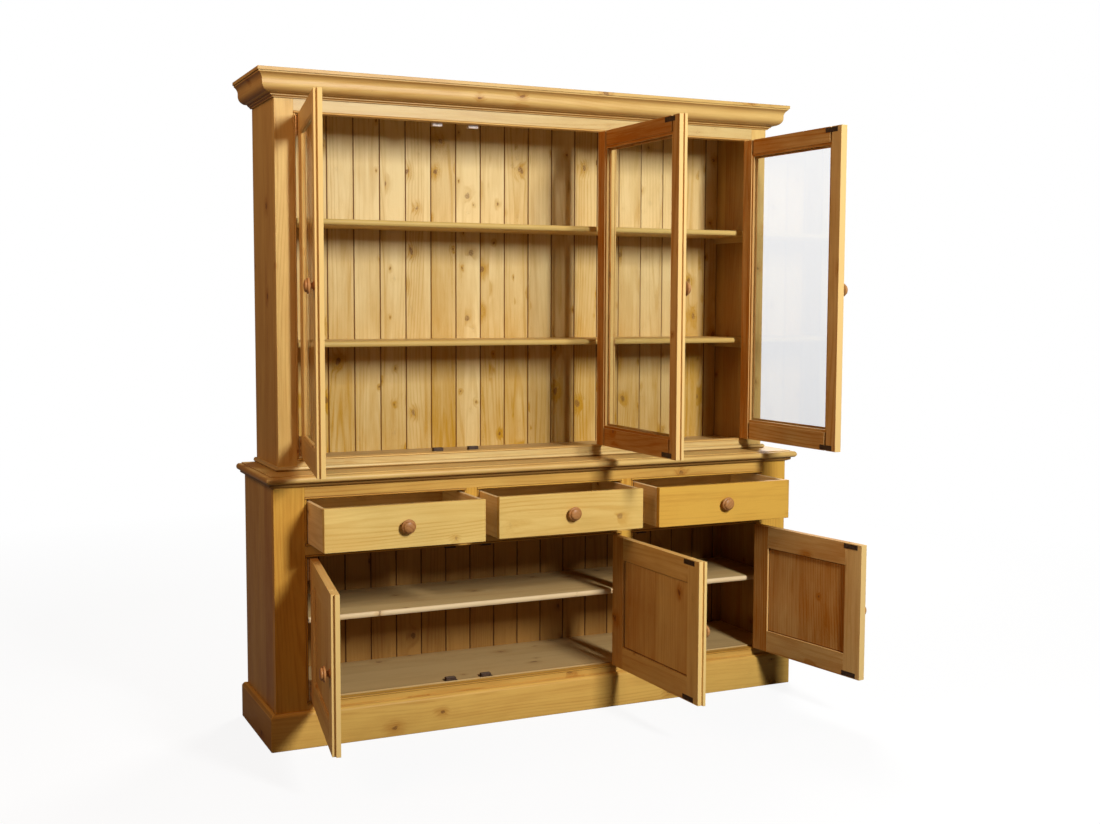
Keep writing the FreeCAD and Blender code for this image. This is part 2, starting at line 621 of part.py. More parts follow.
def door(prefix, style, side, edge, width, lap, z_low, z_high, frame_depth, angle, catch_levels):
    """One leaf, built about its hinge line: side is 1 when hung on the left, -1 on the right."""
    stile = style + "_stile"
    low_rail = "glazed_bottom_rail" if style == "glazed" else "panel_rail"
    top_rail = "glazed_top_rail" if style == "glazed" else "panel_rail"
    inward = right if side > 0 else left
    outward = left if side > 0 else right
    sign = "" if side > 0 else "-"
    start = "(hinge_gap/2)"
    end = f"({width})"
    low = f"({z_low} + door_gap)"
    high = f"({z_high} - door_gap)"
    axis_x = f"({edge} {'+' if side > 0 else '-'} hinge_gap/2)"
    axis_y = f"(-{frame_depth} - {hinge_out})"

    def span_start(near, far):
        return near if side > 0 else f"-{far}"

    def leaf_box(name, near, far, depth, thickness, bottom, top):
        return box(f"{prefix}_{name}", span_start(near, far), f"{hinge_out} + {depth}", bottom,
                   f"{far} - {near}", thickness, f"{top} - {bottom}")

    def section(size, edge_lap):
        """Frame member from its outer edge inwards, front face first."""
        if edge_lap == "rear":
            outer = [("0", "door_thickness"), ("0", "lap_front + lap_clearance/2"),
                     ("meeting_lap", "lap_front + lap_clearance/2"), ("meeting_lap", "0")]
        elif edge_lap == "front":
            outer = [("meeting_lap", "door_thickness"), ("meeting_lap", "lap_front - lap_clearance/2"),
                     ("0", "lap_front - lap_clearance/2"), ("0", "0")]
        else:
            outer = [("0", "door_thickness"), ("0", "0")]
        if style == "glazed":
            inner = [(size, "0"), (size, "glass_front"), (f"{size} - glazing_rebate", "glass_front"),
                     (f"{size} - glazing_rebate", "door_thickness")]
        else:
            inner = [(size, "0"), (size, "panel_front"), (f"{size} - panel_groove", "panel_front"),
                     (f"{size} - panel_groove", "panel_front + panel_thickness"),
                     (size, "panel_front + panel_thickness"), (size, "door_thickness")]
        return outer + inner

    def stile_bar(name, place_at, toward, edge_lap):
        z = low if toward == right else high
        return bar(f"{prefix}_{name}", section(stile, edge_lap), f"{high} - {low}", toward, back,
                   sign + place_at, hinge_out, z)

    inner_near = f"({start} + {stile})"
    inner_far = f"({end} - {stile})"

    def rail_bar(name, size, toward, z):
        x_low = span_start(inner_near, inner_far)
        x_high = inner_far if side > 0 else f"-{inner_near}"
        return bar(f"{prefix}_{name}", section(size, ""), f"{inner_far} - {inner_near}", toward, back,
                   x_high if toward == up else x_low, hinge_out, z)

    frame = [stile_bar("hinge_stile", start, inward, ""),
             stile_bar("free_stile", end, outward, lap),
             rail_bar("low_rail", low_rail, up, low),
             rail_bar("top_rail", top_rail, down, high)]
    inner_low = f"({low} + {low_rail})"
    inner_high = f"({high} - {top_rail})"
    if style == "glazed":
        rebate = "(glazing_rebate - glass_play)"
        filling = leaf_box("pane", f"({inner_near} - {rebate})", f"({inner_far} + {rebate})",
                           "glass_front", "glass_thickness",
                           f"({inner_low} - {rebate})", f"({inner_high} + {rebate})")
        depth = "glass_front + glass_thickness"
        outer_near = f"({inner_near} - glazing_rebate)"
        outer_far = f"({inner_far} + glazing_rebate)"
        for name, near, far, bottom, top in (
                ("bead_low", outer_near, outer_far, f"({inner_low} - glazing_rebate)", inner_low),
                ("bead_top", outer_near, outer_far, inner_high, f"({inner_high} + glazing_rebate)"),
                ("bead_hinge", outer_near, inner_near, inner_low, inner_high),
                ("bead_free", inner_far, outer_far, inner_low, inner_high)):
            frame.append(leaf_box(name, near, far, depth, "glazing_bead", bottom, top))
        filling_name = "pane"
    else:
        reach = "(panel_groove - panel_play)"
        filling = leaf_box("panel", f"({inner_near} - {reach})", f"({inner_far} + {reach})",
                           "panel_front", "panel_thickness",
                           f"({inner_low} - {reach})", f"({inner_high} + {reach})")
        filling_name = "panel"

    plate_far = f"({end} - {'strike_inset' if lap else 'strike_inset_single'})"
    plate_near = f"({plate_far} - strike_length)"
    hardware = []
    for name, bottom in (("strike_low", f"({low} + strike_edge)"),
                         ("strike_top", f"({high} - strike_edge - strike_height)")):
        hardware.append(leaf_box(name, plate_near, plate_far, "door_thickness", "strike_thickness",
                                 bottom, f"({bottom} + strike_height)"))
    hand = upright if side > 0 else turned_over
    for name, z in (("hinge_low", f"{low} + hinge_inset"), ("hinge_top", f"{high} - hinge_inset")):
        hardware.append(copy_of(moving_leaf, f"{prefix}_{name}_leaf", "0", "0", z, hand))
        hinge_frame_leaves.append(copy_of(fixed_leaf, f"{prefix}_{name}_frame_leaf", axis_x, axis_y, z, hand))
    strike_middle = f"({plate_far} - strike_length/2)"
    for name, (bottom, top) in zip(("catch_low", "catch_top"), catch_levels):
        middle = f"{axis_x} {'+' if side > 0 else '-'} {strike_middle}"
        catches.append(box(f"{prefix}_{name}", f"{middle} - catch_length/2",
                           f"frame_thickness - {frame_depth}", bottom,
                           "catch_length", "catch_depth", f"{top} - {bottom}"))

    knob_in = f"({stile} + meeting_lap)/2" if lap == "rear" else f"{stile}/2"
    turned = copy_of(knob, f"{prefix}_knob_turned", f"{sign}({end} - {knob_in})", hinge_out,
                     f"({low} + {high})/2", facing_front)
    swing = ("-" if side > 0 else "") + angle
    for name, pieces in ((f"{prefix}_frame", frame), (f"{prefix}_{filling_name}_sheet", [filling]),
                         (f"{prefix}_hardware", hardware), (f"{prefix}_knob", [turned])):
        leaf = node(name, pieces)
        place(leaf, axis_x, axis_y, "0", FreeCAD.Rotation(up, 0))
        leaf.setExpression("Placement.Rotation.Angle", linked(swing))


def pair_width(opening):
    return f"{opening}/2 + meeting_lap/2 - meeting_gap/2 - hinge_gap/2"


def single_width(opening):
    return f"{opening} - hinge_gap/2 - meeting_gap"


hutch_wide = f"(2*{hutch_bay})"
base_wide = f"(2*{bay} + {base_post})"
hutch_catches = [(hutch_floor_top, f"({hutch_low} + catch_reach)"),
                 (f"({hutch_high} - catch_reach)", f"({frieze_low} + catch_fixing)")]
base_catches = [(base_floor_top, f"({cupboard_low} + base_floor_rise + catch_reach)"),
                (f"({cupboard_high} - catch_reach)", f"({cupboard_high} + bead_width + catch_fixing)")]
door("hutch_left_door", "glazed", 1, f"-{hutch_open}", pair_width(hutch_wide), "rear",
     hutch_low, hutch_high, "hutch_depth", "hutch_left_angle", hutch_catches)
door("hutch_middle_door", "glazed", -1, hutch_wide_end, pair_width(hutch_wide), "front",
     hutch_low, hutch_high, "hutch_depth", "hutch_middle_angle", hutch_catches)
door("hutch_right_door", "glazed", -1, hutch_open, single_width(hutch_bay), "",
     hutch_low, hutch_high, "hutch_depth", "hutch_right_angle", hutch_catches)
door("base_left_door", "panel", 1, f"-{base_open}", pair_width(base_wide), "rear",
     cupboard_low, cupboard_high, "base_depth", "base_left_angle", base_catches)
door("base_middle_door", "panel", -1, wide_end, pair_width(base_wide), "front",
     cupboard_low, cupboard_high, "base_depth", "base_middle_angle", base_catches)
door("base_right_door", "panel", -1, base_open, single_width(bay), "",
     cupboard_low, cupboard_high, "base_depth", "base_right_angle", base_catches)
node("hinge_frame_leaves", hinge_frame_leaves)
node("door_catches", catches)

# Drawers: a flat inset front, two sides, a back and a bottom let in between them.
front_low = f"({drawer_low} + drawer_low_gap)"
front_high = f"({drawer_high} - drawer_top_gap)"
side_high = f"({front_high} - drawer_side_drop)"


def drawer(prefix, start, pull):
    near = f"({start} + drawer_side_gap)"
    far = f"({start} + {bay} - drawer_side_gap)"
    behind = "(drawer_front - base_depth)"
    side_long = "(drawer_length - drawer_front)"
    tall = f"{side_high} - {front_low}"
    face = box(f"{prefix}_face", near, "-base_depth", front_low,
               f"{far} - {near}", "drawer_front", f"{front_high} - {front_low}")
    inner = f"({near} + drawer_side)"
    inner_wide = f"{far} - {near} - 2*drawer_side"
    bottom_level = f"({front_low} + drawer_bottom_rise)"
    back_level = f"({bottom_level} + drawer_bottom)"
    walls = [
        box(f"{prefix}_left_wall", near, behind, front_low, "drawer_side", side_long, tall),
        box(f"{prefix}_right_wall", f"{far} - drawer_side", behind, front_low,
            "drawer_side", side_long, tall),
        box(f"{prefix}_back_wall", inner, f"{behind} + {side_long} - drawer_side", back_level,
            inner_wide, "drawer_side", f"{side_high} - drawer_back_drop - {back_level}"),
        box(f"{prefix}_floor", inner, behind, bottom_level, inner_wide, side_long, "drawer_bottom"),
    ]
    turned = copy_of(knob, f"{prefix}_knob_turned", f"({near} + {far})/2", "-base_depth",
                     f"({front_low} + {front_high})/2", facing_front)
    for name, pieces in ((f"{prefix}_front", [face]), (f"{prefix}_box", walls), (f"{prefix}_knob", [turned])):
        place(node(name, pieces), "0", f"-{pull}", "0")


drawer("left_drawer", bays[0], "left_pull")
drawer("middle_drawer", bays[1], "middle_pull")
drawer("right_drawer", bays[2], "right_pull")

# Runners under the drawer sides, guides beside them and kickers above.
runner_top = f"({front_low} - runner_gap)"
runner_deep = f"-{base_frame_back} - back_thickness"
carriers = []
for index in range(4):
    before = f"({bays[index - 1]} + {bay} - drawer_side_gap)" if index > 0 else f"-{base_inner}"
    after = f"({bays[index]} + drawer_side_gap)" if index < 3 else base_inner
    reach_before = "runner_reach" if index > 0 else "0"
    reach_after = "runner_reach" if index < 3 else "0"
    gap_before = "guide_gap" if index > 0 else "0"
    gap_after = "guide_gap" if index < 3 else "0"
    wide = f"{after} + {reach_after} - {before} + {reach_before}"
    carriers.append(box(f"runner_{index}", f"{before} - {reach_before}", base_frame_back,
                        f"{runner_top} - runner_board", wide, runner_deep, "runner_board"))
    carriers.append(box(f"kicker_{index}", f"{before} - {reach_before}", base_frame_back,
                        f"{side_high} + kicker_gap", wide, runner_deep, "kicker_board"))
    carriers.append(box(f"guide_{index}", f"{before} + {gap_before}", base_frame_back, runner_top,
                        f"{after} - {gap_after} - {before} - {gap_before}", runner_deep, "guide_height"))
node("drawer_runners", carriers)

doc.recompute()
for piece in doc.Objects:
    if "Invalid" in piece.State or "Error" in piece.State:
        raise RuntimeError(f"{piece.Name} did not build: {piece.State}")
for piece in nodes:
    if piece.Shape.isNull() or not piece.Shape.isValid():
        raise RuntimeError(f"{piece.Label} has no valid shape")

os.makedirs("parts", exist_ok=True)
for piece in nodes:
    piece.Shape.exportStep(f"parts/{piece.Label}.step")
print(len(nodes), "nodes written")
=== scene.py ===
import json
import math
import random
import bmesh
import bpy
from mathutils import Matrix, Vector


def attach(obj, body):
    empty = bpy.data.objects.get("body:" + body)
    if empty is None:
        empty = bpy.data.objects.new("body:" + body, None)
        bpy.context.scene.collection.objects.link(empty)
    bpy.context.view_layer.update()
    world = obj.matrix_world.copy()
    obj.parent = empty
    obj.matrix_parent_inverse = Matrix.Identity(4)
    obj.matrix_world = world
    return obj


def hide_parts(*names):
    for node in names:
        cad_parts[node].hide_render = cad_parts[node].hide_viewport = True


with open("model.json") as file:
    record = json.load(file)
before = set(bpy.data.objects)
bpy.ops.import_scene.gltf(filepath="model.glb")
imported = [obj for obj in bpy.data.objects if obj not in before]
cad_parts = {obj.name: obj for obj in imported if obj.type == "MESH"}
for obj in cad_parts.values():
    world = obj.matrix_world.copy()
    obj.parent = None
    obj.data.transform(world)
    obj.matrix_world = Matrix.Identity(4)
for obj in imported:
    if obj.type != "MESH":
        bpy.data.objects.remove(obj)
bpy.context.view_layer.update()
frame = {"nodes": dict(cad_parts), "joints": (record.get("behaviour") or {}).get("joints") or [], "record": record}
nodes = frame["nodes"]
bodyNodes = frame["record"]["behaviour"]["bodies"]
jointOf = {joint["child"]: joint for joint in frame["joints"]}
bodyOf = {name: body for body, names in bodyNodes.items() for name in names}
scene = bpy.context.scene
scene.view_settings.view_transform = "Standard"
print("frame:", len(nodes), "nodes,", len(jointOf), "moving bodies")


# camera, lamps, floor
camera = {"place": (-1.89727, -4.48139, 1.39588), "yaw": -24.879, "pitch": -4.680, "roll": -0.2038,
          "lens": 44.23, "sensor": 36}
lamps = {
    "key": {"place": (0.68, -4.7, 2.95), "aim": (0, -0.3, 1.2), "size": (0.6, 1.5), "power": 254,
            "colour": (0.955, 0.98, 1.0)},
    "side": {"place": (-3.2, -1.6, 3.0), "aim": (-0.9, -0.3, 1.4), "size": (1.6, 1.6), "power": 46,
             "colour": (1, 0.62, 0.38)},
    "back": {"place": (2.8, 3.2, 3.9), "aim": (0.2, 0, 1.1), "size": (1.6, 1.6), "power": 280,
             "colour": (1, 0.97, 0.94)},
}
room = {"fill": 0.01, "fillColour": (1, 0.6, 0.3), "gloss": 0.05, "floorBounce": 0.12, "floorPale": 0.9,
        "floorWhite": 0.9, "floorFade": (2.2, 4.5), "floorSize": 40}


def put(tree, kind, inputs=None, **settings):
    made = tree.nodes.new("ShaderNode" + kind)
    for key, value in settings.items():
        setattr(made, key, value)
    for key, value in (inputs or {}).items():
        if isinstance(value, bpy.types.NodeSocket):
            tree.links.new(value, made.inputs[key])
        else:
            made.inputs[key].default_value = value
    return made


def calc(tree, operation, *values, clamp=False):
    return put(tree, "Math", dict(enumerate(values)), operation=operation, use_clamp=clamp).outputs[0]


def mixColour(tree, share, first, second):
    return put(tree, "Mix", {0: share, 6: first, 7: second}, data_type="RGBA").outputs[2]


def ramp(tree, value, span, results, curve="LINEAR"):
    inputs = {0: value, 1: span[0], 2: span[1], 3: results[0], 4: results[1]}
    return put(tree, "MapRange", inputs, interpolation_type=curve).outputs[0]


def blotches(tree, where, scale, detail):
    return put(tree, "TexNoise", {"Vector": where, "Scale": scale, "Detail": detail}).outputs["Fac"]


def seenDirectly(tree):
    rays = put(tree, "LightPath").outputs
    mirrored = calc(tree, "MULTIPLY", rays["Is Glossy Ray"], room["gloss"])
    straight = calc(tree, "MAXIMUM", rays["Is Camera Ray"], mirrored)
    return calc(tree, "MAXIMUM", straight, rays["Is Transmission Ray"])


def setCamera():
    lens = bpy.data.cameras.new("photoCamera")
    lens.lens = camera["lens"]
    lens.sensor_width = camera["sensor"]
    lens.sensor_fit = "HORIZONTAL"
    holder = bpy.data.objects.new("photoCamera", lens)
    turn = Matrix.Rotation(math.radians(camera["yaw"]), 4, "Z")
    turn = turn @ Matrix.Rotation(math.radians(camera["pitch"]), 4, "X")
    turn = turn @ Matrix.Rotation(math.radians(camera["roll"]), 4, "Y")
    turn = turn @ Matrix.Rotation(math.radians(90), 4, "X")
    holder.matrix_world = Matrix.Translation(camera["place"]) @ turn
    scene.collection.objects.link(holder)
    scene.camera = holder


def setLamps():
    for name, lamp in lamps.items():
        light = bpy.data.lights.new(name + "Lamp", "AREA")
        light.shape = "RECTANGLE"
        light.size, light.size_y = lamp["size"]
        light.energy = lamp["power"]
        light.color = lamp["colour"]
        holder = bpy.data.objects.new(name + "Lamp", light)
        aim = Vector(lamp["aim"]) - Vector(lamp["place"])
        holder.rotation_euler = aim.to_track_quat("-Z", "Y").to_euler()
        holder.location = lamp["place"]
        scene.collection.objects.link(holder)


def setWorld():
    world = bpy.data.worlds.new("studioRoom")
    scene.world = world
    world.use_nodes = True
    tree = world.node_tree
    tree.nodes.clear()
    fill = put(tree, "Background", {"Color": (*room["fillColour"], 1), "Strength": room["fill"]})
    white = put(tree, "Background", {"Color": (1, 1, 1, 1), "Strength": 1})
    mix = put(tree, "MixShader", {0: seenDirectly(tree), 1: fill.outputs[0], 2: white.outputs[0]})
    put(tree, "OutputWorld", {"Surface": mix.outputs[0]})


# the floor catches a soft shadow and fades to white away from the dresser
def setFloor():
    bm = bmesh.new()
    bmesh.ops.create_grid(bm, x_segments=1, y_segments=1, size=room["floorSize"])
    mesh = bpy.data.meshes.new("paleFloor")
    bm.to_mesh(mesh)
    bm.free()
    floor = bpy.data.objects.new("paleFloor", mesh)
    scene.collection.objects.link(floor)
    finish = bpy.data.materials.new("paleFloor")
    finish.use_nodes = True
    tree = finish.node_tree
    tree.nodes.clear()
    straight = seenDirectly(tree)
    shade = ramp(tree, straight, (0, 1), (room["floorBounce"], room["floorPale"]))
    matt = put(tree, "BsdfDiffuse", {"Color": shade})
    glow = put(tree, "Emission", {"Color": (1, 1, 1, 1), "Strength": 1})
    where = put(tree, "TexCoord").outputs["Object"]
    away = put(tree, "VectorMath", {0: where}, operation="LENGTH").outputs["Value"]
    white = ramp(tree, away, room["floorFade"], (room["floorWhite"], 1))
    share = calc(tree, "MULTIPLY", straight, white)
    mix = put(tree, "MixShader", {0: share, 1: matt.outputs[0], 2: glow.outputs[0]})
    put(tree, "OutputMaterial", {"Surface": mix.outputs[0]})
    mesh.materials.append(finish)


setCamera()
setLamps()
setWorld()
setFloor()
print("studio set")


# pine, as boards are sawn: rings seen along the length, fibre, knots and glued staves
# a noise has its stretch along, across and through the board, its detail and its shift
figure = {
    "noises": {
        "wobble": ((30, 40, 40), 1, 5), "sway": ((0.8, 2.5, 2.5), 1, 0), "lift": ((0.6, 1.2, 1.2), 1, 17),
        "bend": ((3, 34, 34), 2, 3), "clear": ((1.1, 11, 11), 1, 47), "cloud": ((1.7, 9, 9), 2, 31),
        "mottle": ((7, 26, 26), 3, 71), "streak": ((1.0, 70, 70), 2, 53), "fibre": ((14, 300, 300), 3, 9),
    },
    "blots": {"cloud": 0.85, "mottle": 0.55, "streak": 0.4, "fibre": 0.4},
    "staveSeed": 91.7, "staveRun": 23.0, "staveShift": 0.07, "staveChange": 0.3,
    "knotNet": (7.0, 9.5, 0), "knotWobble": 0.16, "knotLeast": 0.024, "knotMore": 0.062,
    "knotCore": (0.75, 1.15), "knotHalo": (0.6, 4.8), "coreShare": 0.72, "haloDepth": 0.5,
    "pithWander": 0.12, "pithAside": 0.06, "pithBelow": 0.01,
    "ringTurns": 620.0, "knotTurns": 7.0, "bendTurns": 5.0,
    "clearSpan": (0.36, 0.66), "clearShare": (0.25, 1.25),
    "startDepth": 0.16, "grimeAndShadeShare": -0.8,
    "rough": 0.36, "ringRough": -0.05, "fibreRough": 0.16,
    "ringHeight": 0.4, "fibreHeight": 0.6, "heightReach": 0.0006,
}
groupInputs = {"Board Place": "Vector", "Board Tone": "Float", "Arris": "Float", "Pale": "Color",
               "Deep": "Color", "Knot": "Color", "Knot Share": "Float", "Ring Depth": "Float",
               "Stave Width": "Float", "Board Change": "Float", "Painted Shade": "Float", "Wear And Light Share": "Float",
               "Grime And Shade": "Color"}
groupOutputs = {"Colour": "Color", "Roughness": "Float", "Height": "Float"}


def makePineGroup():
    tree = bpy.data.node_groups.new("pineBoard", "ShaderNodeTree")
    for way, sockets in (("INPUT", groupInputs), ("OUTPUT", groupOutputs)):
        for name, kind in sockets.items():
            tree.interface.new_socket(name, in_out=way, socket_type="NodeSocket" + kind)
    given = tree.nodes.new("NodeGroupInput").outputs
    parts = put(tree, "SeparateXYZ", {0: given["Board Place"]}).outputs

    def centred(value):
        return calc(tree, "SUBTRACT", value, 0.5)

    # staves: each glued strip has its own length of tree and its own tone
    strip = calc(tree, "FLOOR", calc(tree, "DIVIDE", parts["Y"], given["Stave Width"]))
    strip = calc(tree, "ADD", strip, calc(tree, "MULTIPLY", given["Board Tone"], figure["staveSeed"]))
    chance = put(tree, "TexWhiteNoise", {"W": strip}, noise_dimensions="1D").outputs["Value"]
    along = calc(tree, "MULTIPLY_ADD", chance, figure["staveRun"], parts["X"])
    across = calc(tree, "MULTIPLY_ADD", centred(chance), figure["staveShift"], parts["Y"])
    place = put(tree, "CombineXYZ", {0: along, 1: across, 2: parts["Z"]}).outputs[0]

    def noise(name):
        stretch, detail, shift = figure["noises"][name]
        inputs = {0: place, 1: stretch, 2: (shift, shift, shift)}
        scaled = put(tree, "VectorMath", inputs, operation="MULTIPLY_ADD").outputs[0]
        return blotches(tree, scaled, 1, detail)

    # knots: some cells of a loose net hold one
    spread = put(tree, "VectorMath", {0: place, 1: figure["knotNet"]}, operation="MULTIPLY").outputs[0]
    wobble = calc(tree, "MULTIPLY", centred(noise("wobble")), figure["knotWobble"])
    spread = put(tree, "VectorMath", {0: spread, 1: wobble}, operation="ADD").outputs[0]
    net = put(tree, "TexVoronoi", {"Vector": spread, "Scale": 1}, voronoi_dimensions="2D").outputs
    luck = put(tree, "SeparateColor", {0: net["Color"]}).outputs
    kept = calc(tree, "LESS_THAN", luck["Red"], given["Knot Share"])
    reach = calc(tree, "MULTIPLY_ADD", luck["Green"], figure["knotMore"], figure["knotLeast"])
    ratio = calc(tree, "DIVIDE", net["Distance"], reach)
    core = calc(tree, "MULTIPLY", ramp(tree, ratio, figure["knotCore"], (1, 0), "SMOOTHSTEP"), kept)
    halo = calc(tree, "MULTIPLY", ramp(tree, ratio, figure["knotHalo"], (1, 0), "SMOOTHSTEP"), kept)

    # rings: distance from a pith line that wanders under the board, clearer in some places than in others
    sway = calc(tree, "MULTIPLY_ADD", noise("sway"), figure["pithWander"], across)
    lift = calc(tree, "MULTIPLY_ADD", noise("lift"), figure["pithWander"], parts["Z"])
    aside = calc(tree, "SUBTRACT", sway, figure["pithAside"])
    below = calc(tree, "SUBTRACT", lift, figure["pithBelow"])
    pith = put(tree, "CombineXYZ", {1: aside, 2: below}).outputs[0]
    radius = put(tree, "VectorMath", {0: pith}, operation="LENGTH").outputs["Value"]
    turns = calc(tree, "MULTIPLY", halo, figure["knotTurns"])
    turns = calc(tree, "MULTIPLY_ADD", radius, figure["ringTurns"], turns)
    turns = calc(tree, "MULTIPLY_ADD", noise("bend"), figure["bendTurns"], turns)
    late = ramp(tree, calc(tree, "SINE", turns), (0, 1), (0, 1), "SMOOTHSTEP")
    clear = ramp(tree, noise("clear"), figure["clearSpan"], figure["clearShare"])
    late = calc(tree, "MULTIPLY", late, clear)

    # colour: pale to deep by board, stave, painted shade, ring and blot; then knots; then pale marks (wear,
    # painted highlight) and dark marks (grime, painted shade)
    stave = calc(tree, "MULTIPLY", centred(chance), figure["staveChange"])
    mood = calc(tree, "MULTIPLY_ADD", centred(given["Board Tone"]), given["Board Change"], stave)
    mood = calc(tree, "ADD", calc(tree, "ADD", mood, given["Painted Shade"]), figure["startDepth"])
    depth = calc(tree, "MULTIPLY_ADD", late, given["Ring Depth"], mood)
    blots = {name: noise(name) for name in figure["blots"]}
    for name, weight in figure["blots"].items():
        depth = calc(tree, "MULTIPLY_ADD", centred(blots[name]), weight, depth)
    depth = calc(tree, "MULTIPLY_ADD", halo, figure["haloDepth"], depth, clamp=True)
    tint = mixColour(tree, depth, given["Pale"], given["Deep"])
    tint = mixColour(tree, calc(tree, "MULTIPLY", core, figure["coreShare"]), tint, given["Knot"])
    # marks above 0 take the pale colour (rubbed wear and painted highlight), marks below 0 the grime colour (grime
    # and painted shade)
    wearAndLight = calc(tree, "MULTIPLY", given["Arris"], given["Wear And Light Share"], clamp=True)
    grimeAndShade = calc(tree, "MULTIPLY", given["Arris"], figure["grimeAndShadeShare"], clamp=True)
    tint = mixColour(tree, wearAndLight, tint, given["Pale"])
    tint = mixColour(tree, grimeAndShade, tint, given["Grime And Shade"])

    rough = calc(tree, "MULTIPLY_ADD", late, figure["ringRough"], figure["rough"])
    rough = calc(tree, "MULTIPLY_ADD", blots["fibre"], figure["fibreRough"], rough)
    height = calc(tree, "MULTIPLY", late, figure["ringHeight"])
    height = calc(tree, "MULTIPLY_ADD", blots["fibre"], figure["fibreHeight"], height)
    result = tree.nodes.new("NodeGroupOutput")
    for name, socket in (("Colour", tint), ("Roughness", rough), ("Height", height)):
        tree.links.new(socket, result.inputs[name])
    return tree


# a kind of pine gives what differs from the base; paintedShade: level without it, level where it is full, share of
# the deep colour; it darkens toward the bottom, and on doors, whose levels sit at the floor, it is even
pineBase = {"knot": (0.15, 0.048, 0.012), "knotShare": 0.2, "rings": 0.24, "stave": 9.0, "change": 0.3,
            "wearAndLight": 0.3, "sheen": 0.1, "relief": 0.25}
pineKinds = {
    "waxedPine": {"pale": (0.65, 0.42, 0.13), "deep": (0.37, 0.15, 0.027), "knot": (0.13, 0.045, 0.012),
                  "knotShare": 0.16, "stave": 0.105, "change": 0.35, "sheen": 0.12,
                  "paintedShade": (2.0, 0.4, 0.42)},
    "facePine": {"pale": (0.77, 0.54, 0.175), "deep": (0.52, 0.265, 0.04), "knot": (0.20, 0.07, 0.02),
                 "rings": 0.3, "stave": 0.075, "sheen": 0.16},
    "framePine": {"pale": (0.71, 0.47, 0.155), "deep": (0.42, 0.185, 0.03), "grimeAndShade": (0.30, 0.105, 0.016),
                  "knotShare": 0.14, "rings": 0.2, "change": 0.35, "sheen": 0.11},
    "glossPine": {"pale": (0.69, 0.46, 0.15), "deep": (0.42, 0.185, 0.03), "grimeAndShade": (0.30, 0.105, 0.016),
                  "knotShare": 0.14, "rings": 0.2, "change": 0.35, "sheen": 0.24},
    "railPine": {"pale": (0.67, 0.50, 0.205), "deep": (0.42, 0.215, 0.045), "grimeAndShade": (0.19, 0.085, 0.018),
                 "change": 0.35, "wearAndLight": 0.5, "sheen": 0.26},
    # a dark copy of pine for the moulding under the worktop's nose: painted shade
    "bedShadedPine": {"pale": (0.34, 0.18, 0.045), "deep": (0.20, 0.08, 0.014), "knot": (0.10, 0.035, 0.01),
                "knotShare": 0.14, "rings": 0.2, "sheen": 0.12},
    "dullPine": {"pale": (0.60, 0.40, 0.15), "deep": (0.38, 0.18, 0.04), "stave": 0.12, "sheen": 0.0},
    "doorPine": {"pale": (0.78, 0.53, 0.19), "deep": (0.48, 0.178, 0.019), "knot": (0.13, 0.042, 0.012),
                 "rings": 0.2, "change": 0.5, "wearAndLight": 0.85, "paintedShade": (0.0, 0.1, 0.28)},
    # a darker copy of the door pine for doors whose inner faces stand in shade: painted shade, with pale edges as
    # painted highlight
    "shadedDoorPine": {"pale": (0.75, 0.50, 0.19), "deep": (0.415, 0.137, 0.011), "knot": (0.12, 0.04, 0.012),
                 "rings": 0.2, "change": 0.5, "wearAndLight": 0.95, "sheen": 0.06, "paintedShade": (0.0, 0.1, 0.56)},
    "basePine": {"pale": (0.665, 0.37, 0.06), "deep": (0.39, 0.145, 0.014), "knot": (0.13, 0.042, 0.012),
                 "knotShare": 0.18, "change": 0.35, "sheen": 0.12},
    "lowPine": {"pale": (0.66, 0.388, 0.088), "deep": (0.39, 0.154, 0.022), "knot": (0.13, 0.042, 0.012),
                "knotShare": 0.26, "rings": 0.3, "change": 0.35, "sheen": 0.12},
    "boardPine": {"pale": (0.77, 0.585, 0.275), "deep": (0.455, 0.23, 0.014), "knot": (0.15, 0.05, 0.012),
                  "knotShare": 0.52, "change": 0.22, "wearAndLight": 0.6, "paintedShade": (1.75, 0.95, 0.44)},
    "shelfPine": {"pale": (0.61, 0.425, 0.14), "deep": (0.48, 0.285, 0.068), "knot": (0.16, 0.055, 0.015),
                  "wearAndLight": 0.5},
    # a paler copy of pine for the base shelf's forward faces: painted light
    "nosePine": {"pale": (0.79, 0.60, 0.345), "deep": (0.62, 0.40, 0.17), "knot": (0.2, 0.08, 0.025),
                 "wearAndLight": 0.5},
    # a dark copy of pine for the base's back boards, which stand in shade: painted shade
    "dimShadedPine": {"pale": (0.385, 0.195, 0.048), "deep": (0.185, 0.07, 0.012), "knot": (0.07, 0.025, 0.008),
                "knotShare": 0.36, "rings": 0.22},
    "plainPine": {"pale": (0.56, 0.385, 0.165), "deep": (0.36, 0.195, 0.06), "knot": (0.14, 0.05, 0.02),
                  "rings": 0.22, "stave": 0.095, "wearAndLight": 0.9, "relief": 0.2},
    "boxPine": {"pale": (0.81, 0.61, 0.32), "deep": (0.57, 0.36, 0.135), "knot": (0.2, 0.08, 0.025),
                "knotShare": 0.3, "rings": 0.3, "relief": 0.2},
    "knobPine": {"pale": (0.49, 0.225, 0.07), "deep": (0.28, 0.10, 0.025), "knot": (0.12, 0.04, 0.012),
                 "knotShare": 0.0, "rings": 0.4, "sheen": 0.25, "relief": 0.15},
}
finishes = {}


def newFinish(name):
    finish = bpy.data.materials.new(name)
    finish.use_nodes = True
    finish.node_tree.nodes.clear()
    finishes[name] = finish
    return finish.node_tree


